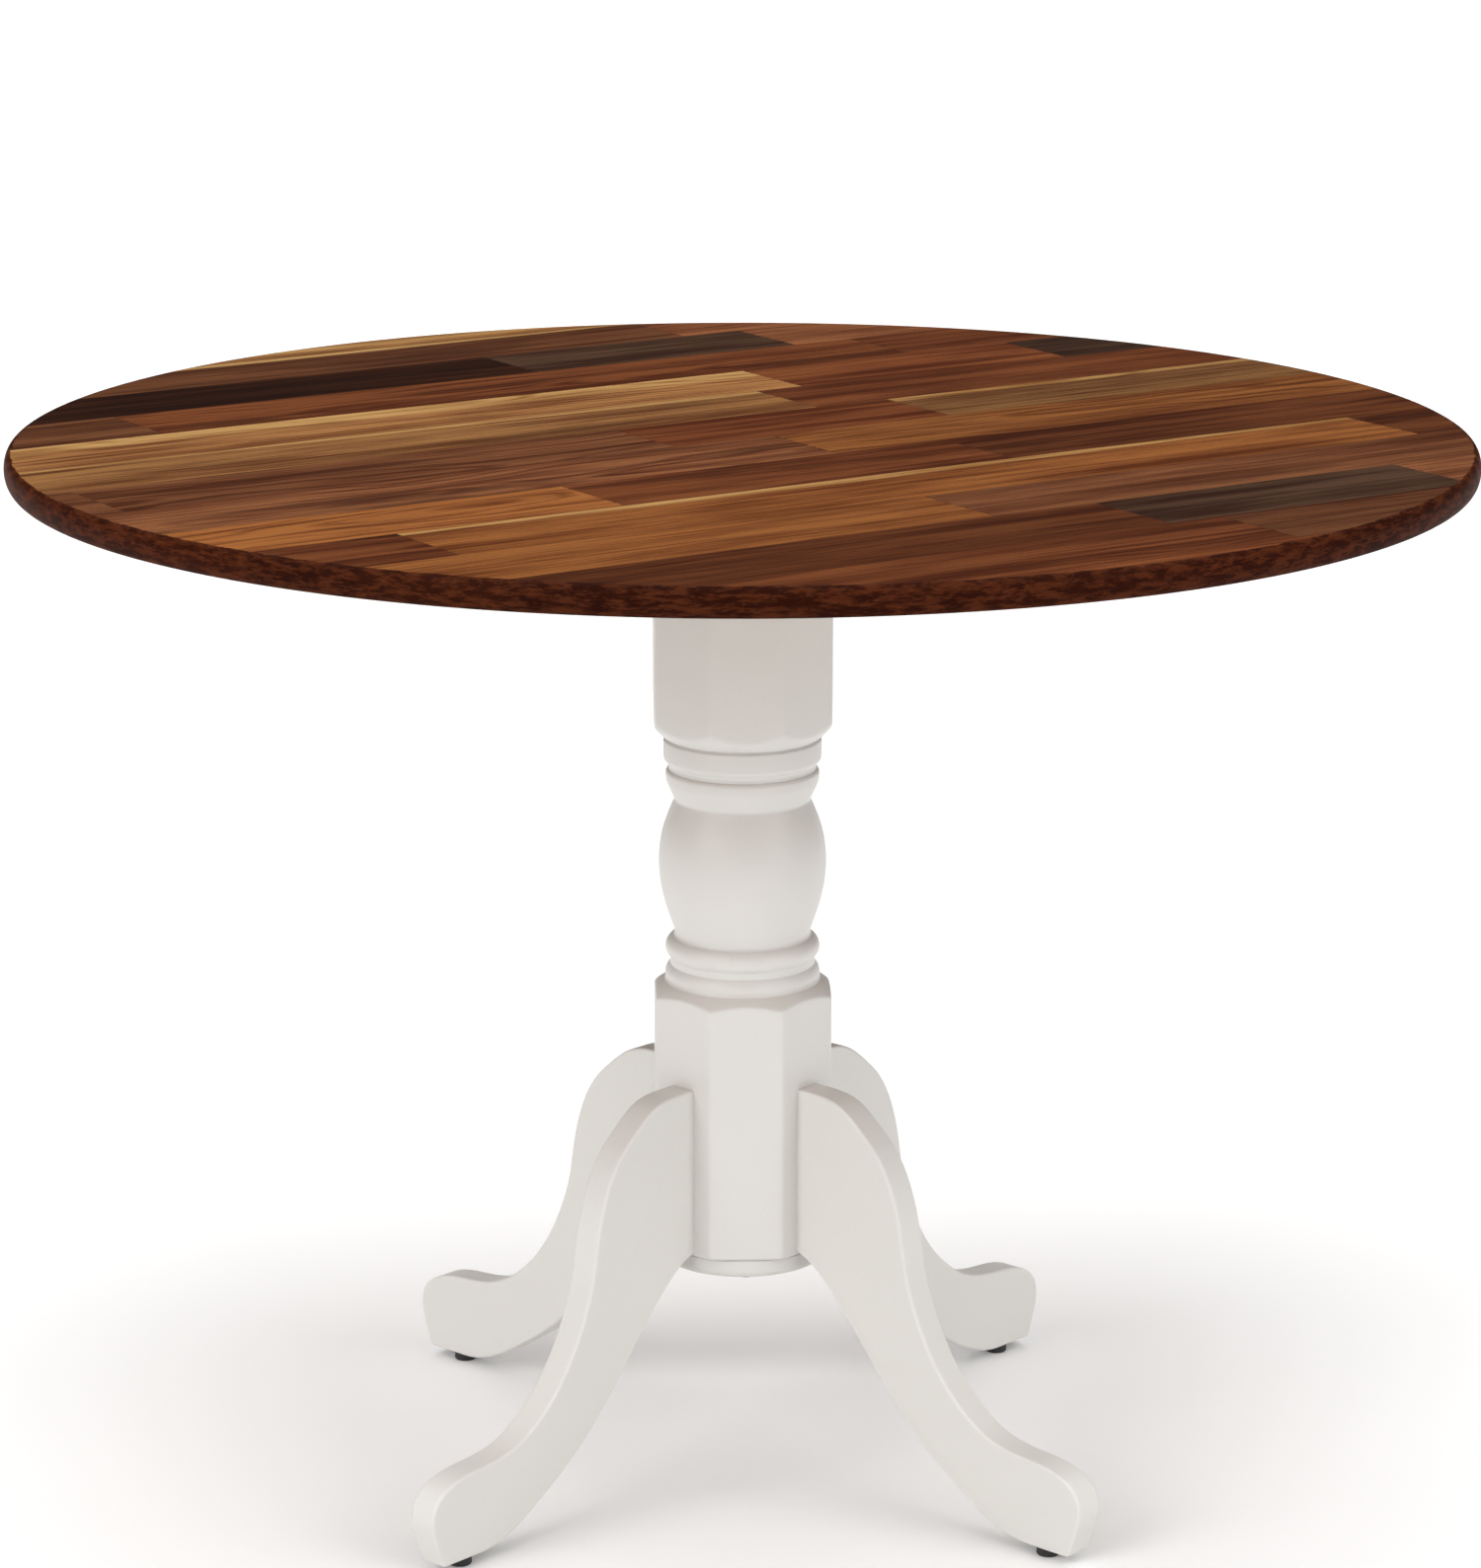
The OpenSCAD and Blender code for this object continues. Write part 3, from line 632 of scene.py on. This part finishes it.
# Rows of staves from the front of the top to its back, each from one end of the grain to the other
ROWS = {
    -7: [stave(0.15, "red", 1.1, dark=0.2),
         stave(END, "red", 0.7, (-0.06, -0.04))],
    -6: [stave(0.10, "red", 0.9, (-0.09, -0.02), 0.6, dark=0.5),
         stave(END, "brown", 0.7, dark=0.4)],
    -5: [stave(-0.42, "brown", 0.7),
         stave(0.06, "red", 0.65, (-0.10, -0.03), dark=0.5),
         stave(0.31, "grey", 0.55, (0.05, -0.05), dark=0.5),
         stave(END, "brown", 1.2)],
    -4: [stave(-0.02, "gold", 1.0, (0.09, -0.03)),
         stave(END, "brown", 0.95, (-0.08, -0.02), dark=0.4)],
    -3: [stave(-0.37, "red", 0.9, (-0.01, -0.02), 0.9, dark=1.0),
         stave(0.40, "gold", 1.05, sap=(0.036, 0.008)),
         stave(END, "red", 0.7, (0.02, -0.02), 0.9, dark=0.6)],
    -2: [stave(-0.20, "gold", 1.2, (0.0, -0.03), 0.9),
         stave(0.11, "red", 1.0, (-0.08, -0.03), dark=0.6),
         stave(END, "red", 0.7, (0.06, -0.04), dark=0.5)],
    -1: [stave(0.02, "brown", 1.15, (-0.02, -0.02), 0.9, dark=0.7),
         stave(END, "gold", 0.9, (0.01, -0.03), 0.9)],
    0: [stave(-0.48, "brown", 0.9),
        stave(-0.06, "brown", 0.9, (-0.03, -0.03), 1.0, dark=0.5),
        stave(0.17, "red", 1.1, (0.09, -0.03)),
        stave(END, "olive", 0.85, (0.05, -0.02), 0.7, sap=(0.035, 0.008))],
    1: [stave(0.11, "olive", 1.2, (0.08, -0.02), sap=(0.037, 0.006), dark=0.4),
        stave(END, "red", 0.95, (-0.09, -0.03), dark=0.4)],
    2: [stave(0.15, "olive", 1.6, (0.04, -0.03), 0.8, sap=(0.030, 0.022)),
        stave(0.39, "red", 1.1, (-0.07, -0.03)),
        stave(END, "grey", 0.4, (0.07, -0.04), 0.4)],
    3: [stave(-0.33, "brown", 0.75, dark=0.3),
        stave(0.30, "red", 1.0, (-0.01, -0.03), 1.0, dark=0.6),
        stave(END, "red", 0.9, dark=0.3)],
    4: [stave(0.02, "red", 0.24, (-0.08, -0.04), dark=0.3),
        stave(0.25, "grey", 0.6),
        stave(END, "brown", 1.3, (-0.06, -0.03))],
    5: [stave(0.20, "brown", 0.75, (0.07, -0.02), 0.7, sap=(0.037, 0.008), dark=0.6),
        stave(END, "brown", 1.4, (-0.05, -0.03))],
    6: [stave(END, "olive", 1.4, (0.06, -0.03), sap=(-0.018, 0.012))],
}


def top_disc():
    """The top as rings from its underside, round the rim, to its upper face."""
    flat_r = TOP_R - TOP_EDGE
    half = (top_hi[2] - top_lo[2]) / 2
    steps_in = (0.006, 0.0022, 0.0008)
    rows = [Row(flat_r - d, top_lo[2], 0) for d in steps_in]
    rows += [Row(flat_r + TOP_EDGE * math.cos(a), TOP_MIDDLE + half * math.sin(a), 0)
             for a in np.linspace(-math.pi / 2, math.pi / 2, 27)]
    rows += [Row(flat_r - d, top_hi[2], 0) for d in reversed(steps_in)]
    angles = [2 * math.pi * j / TOP_SIDES for j in range(TOP_SIDES)]
    return lathe(rows, angles, lambda row, a: row.r)


def row_of(face):
    return math.floor((face.calc_center_median().y - STAVE_FROM) / STAVE_W)


def stave_of(face):
    """Row of a face, and its place in that row."""
    k = min(max(row_of(face), min(ROWS)), max(ROWS))
    x = face.calc_center_median().x
    return k, next(i for i, s in enumerate(ROWS[k]) if x < s.to)


def cut(bm, chosen, point, normal):
    edges = dict.fromkeys(e for f in chosen for e in f.edges)
    verts = dict.fromkeys(v for f in chosen for v in f.verts)
    geom = [*edges, *verts, *chosen]
    bmesh.ops.bisect_plane(bm, geom=geom, dist=1e-7, plane_co=point, plane_no=normal)


def top_mesh():
    """The top, cut along its glue lines. Each face carries what the wood needs to know of its stave."""
    verts, faces = top_disc()
    bm = bmesh.new()
    corners = [bm.verts.new(v) for v in verts]
    for f in faces:
        bm.faces.new([corners[i] for i in f])
    for k in ROWS:
        cut(bm, list(bm.faces), (0, STAVE_FROM + STAVE_W * k, 0), (0, 1, 0))
    for k, staves in ROWS.items():
        for s in staves[:-1]:
            cut(bm, [f for f in bm.faces if row_of(f) == k], (s.to, 0, 0), (1, 0, 0))
    bm.normal_update()
    middle, heart, look, tone, dark = [], [], [], [], []
    for k, i in map(stave_of, bm.faces):
        s = ROWS[k][i]
        start = ROWS[k][i - 1].to if i else -END
        # Different for each stave, so that no two have the same figure
        seed = 1.7 * k + 0.61 * i + 20
        middle += [STAVE_FROM + STAVE_W * (k + 0.5), (start + s.to) / 2, (s.to - start) / 2]
        heart += [*s.heart, seed]
        look += [s.figure, *s.sap]
        tone += [*s.colour, 1.0]
        dark.append(s.dark)
    bm.transform(Matrix.Rotation(TOP_GRAIN, 4, "Z"))
    me = bpy.data.meshes.new("butcher_block_top")
    bm.to_mesh(me)
    bm.free()
    for name, kind, key, values in (
        ("stave_middle", "FLOAT_VECTOR", "vector", middle),
        ("stave_heart", "FLOAT_VECTOR", "vector", heart),
        ("stave_look", "FLOAT_VECTOR", "vector", look),
        ("stave_tone", "FLOAT_COLOR", "color", tone),
        ("stave_dark", "FLOAT", "value", dark),
    ):
        me.attributes.new(name, kind, "FACE").data.foreach_set(key, values)
    on_edge = [int(p.center.xy.length > TOP_R - TOP_EDGE) for p in me.polygons]
    me.polygons.foreach_set("material_index", on_edge)
    return me


# ---------- finishes ----------

paint = painted()
wood = walnut("walnut_staves", 0.18, 0.18)
edge_wood = walnut("walnut_edge", 0.55, 0.03)
batten_wood = birch(GRAIN - math.pi / 2, "birch_battens")
block_wood = birch(GRAIN, "birch_block")
brass = metal("satin_brass", BRASS_DARK, BRASS_LIGHT, 0.30, (90, 90, 900))
steel = metal("zinc_steel", STEEL_DARK, STEEL_LIGHT, 0.34, (300, 300, 300))

finishes = {
    "paint": paint,
    "walnut": wood,
    "brass": brass,
    "steel": steel,
    "black": black_plastic(),
    "felt": felt(),
}
birch_nodes = {"batten_left": batten_wood, "batten_right": batten_wood, "tilt_block": block_wood}


# ---------- pieces ----------

verts, faces = lathe(column_rows(), column_angles(), on_column)
painted_piece("turned_column", verts, faces, "column")

for node, angle in LEG_ANGLES.items():
    verts, faces = leg_mesh(math.radians(angle))
    leg = painted_piece("cabriole_" + node, verts, faces, node)
    turn_faces_outwards(leg.data)

top = top_mesh()
top.materials.append(wood)
top.materials.append(edge_wood)
piece("butcher_block_top", top, "top", "table_top")

slots = {p["node"]: p["material_slot"] for p in frame["record"]["subparts"]}
for node, ob in frame["nodes"].items():
    ob.data.materials.clear()
    ob.data.materials.append(birch_nodes.get(node) or finishes[slots[node]])


# ---------- floor, light and camera ----------

def floor_material():
    m = Nodes("pale_floor")
    color = m.mix(m.noise(m.coord, 1.3, 2.0, 0.5), FLOOR_DARK, FLOOR_LIGHT)
    # Clear from below, so that the underside of the table can be seen through it
    geometry = m.tree.nodes.new("ShaderNodeNewGeometry")
    m.put(m.bsdf.inputs["Alpha"], m.math("SUBTRACT", 1.0, geometry.outputs["Backfacing"]))
    normal = m.bump(m.noise(m.coord, 300.0, 2.0, 0.5), 0.0002, 0.2)
    return m.finish(color, 0.9, normal, Specular_IOR_Level=0.1)


def floor_mesh():
    bm = bmesh.new()
    bmesh.ops.create_circle(bm, cap_ends=True, segments=96, radius=FLOOR_R)
    me = bpy.data.meshes.new("floor")
    bm.to_mesh(me)
    bm.free()
    me.materials.append(floor_material())
    return me


def studio():
    """Plain white where the camera sees it, and a soft overhead glow to the table."""
    world = bpy.data.worlds.new("studio")
    world.use_nodes = True
    tree = world.node_tree
    tree.nodes.clear()
    output = tree.nodes.new("ShaderNodeOutputWorld")
    glow = tree.nodes.new("ShaderNodeBackground")
    coord = tree.nodes.new("ShaderNodeTexCoord")
    split = tree.nodes.new("ShaderNodeSeparateXYZ")
    overhead = tree.nodes.new("ShaderNodeMapRange")
    backdrop = tree.nodes.new("ShaderNodeBackground")
    rays = tree.nodes.new("ShaderNodeLightPath")
    mix = tree.nodes.new("ShaderNodeMixShader")
    overhead.interpolation_type = "SMOOTHSTEP"
    for i, value in ((1, 0.30), (2, 0.95), (3, 0.02), (4, 0.75)):
        overhead.inputs[i].default_value = value
    glow.inputs["Color"].default_value = (1.0, 0.995, 0.985, 1)
    backdrop.inputs["Color"].default_value = (1, 1, 1, 1)
    tree.links.new(coord.outputs["Generated"], split.inputs[0])
    tree.links.new(split.outputs[2], overhead.inputs[0])
    tree.links.new(overhead.outputs[0], glow.inputs["Strength"])
    tree.links.new(rays.outputs["Is Camera Ray"], mix.inputs[0])
    tree.links.new(glow.outputs[0], mix.inputs[1])
    tree.links.new(backdrop.outputs[0], mix.inputs[2])
    tree.links.new(mix.outputs[0], output.inputs["Surface"])
    return world


def sun(name, azimuth, elevation, strength, spread, color=(1, 1, 1)):
    """A sun of soft edge, at an azimuth from +X and an elevation, in degrees."""
    data = bpy.data.lights.new(name, "SUN")
    data.energy = strength
    data.angle = math.radians(spread)
    data.color = color
    a, e = math.radians(azimuth), math.radians(elevation)
    towards = Vector((math.cos(e) * math.cos(a), math.cos(e) * math.sin(a), math.sin(e)))
    add(name, data).rotation_euler = towards.to_track_quat("Z", "Y").to_euler()


floor = add("floor", floor_mesh())
bpy.context.scene.world = studio()
sun("key", azimuth=220, elevation=24, strength=1.43, spread=35, color=(1.0, 0.998, 0.99))
sun("fill", azimuth=322, elevation=22, strength=1.14, spread=40, color=(0.995, 0.998, 1.0))
sun("sky", azimuth=270, elevation=86, strength=2.1, spread=90)

camera = add("camera", bpy.data.cameras.new("camera"))
camera.location = Matrix.Rotation(-TURN, 4, "Z") @ Vector(CAMERA_AT)
camera.rotation_euler = (math.pi / 2 - PITCH, 0, -TURN)
camera.data.sensor_width = SENSOR_MM
camera.data.lens = LENS_MM
camera.data.clip_end = CLIP_END
bpy.context.scene.camera = camera
bpy.context.scene.view_settings.view_transform = "Standard"
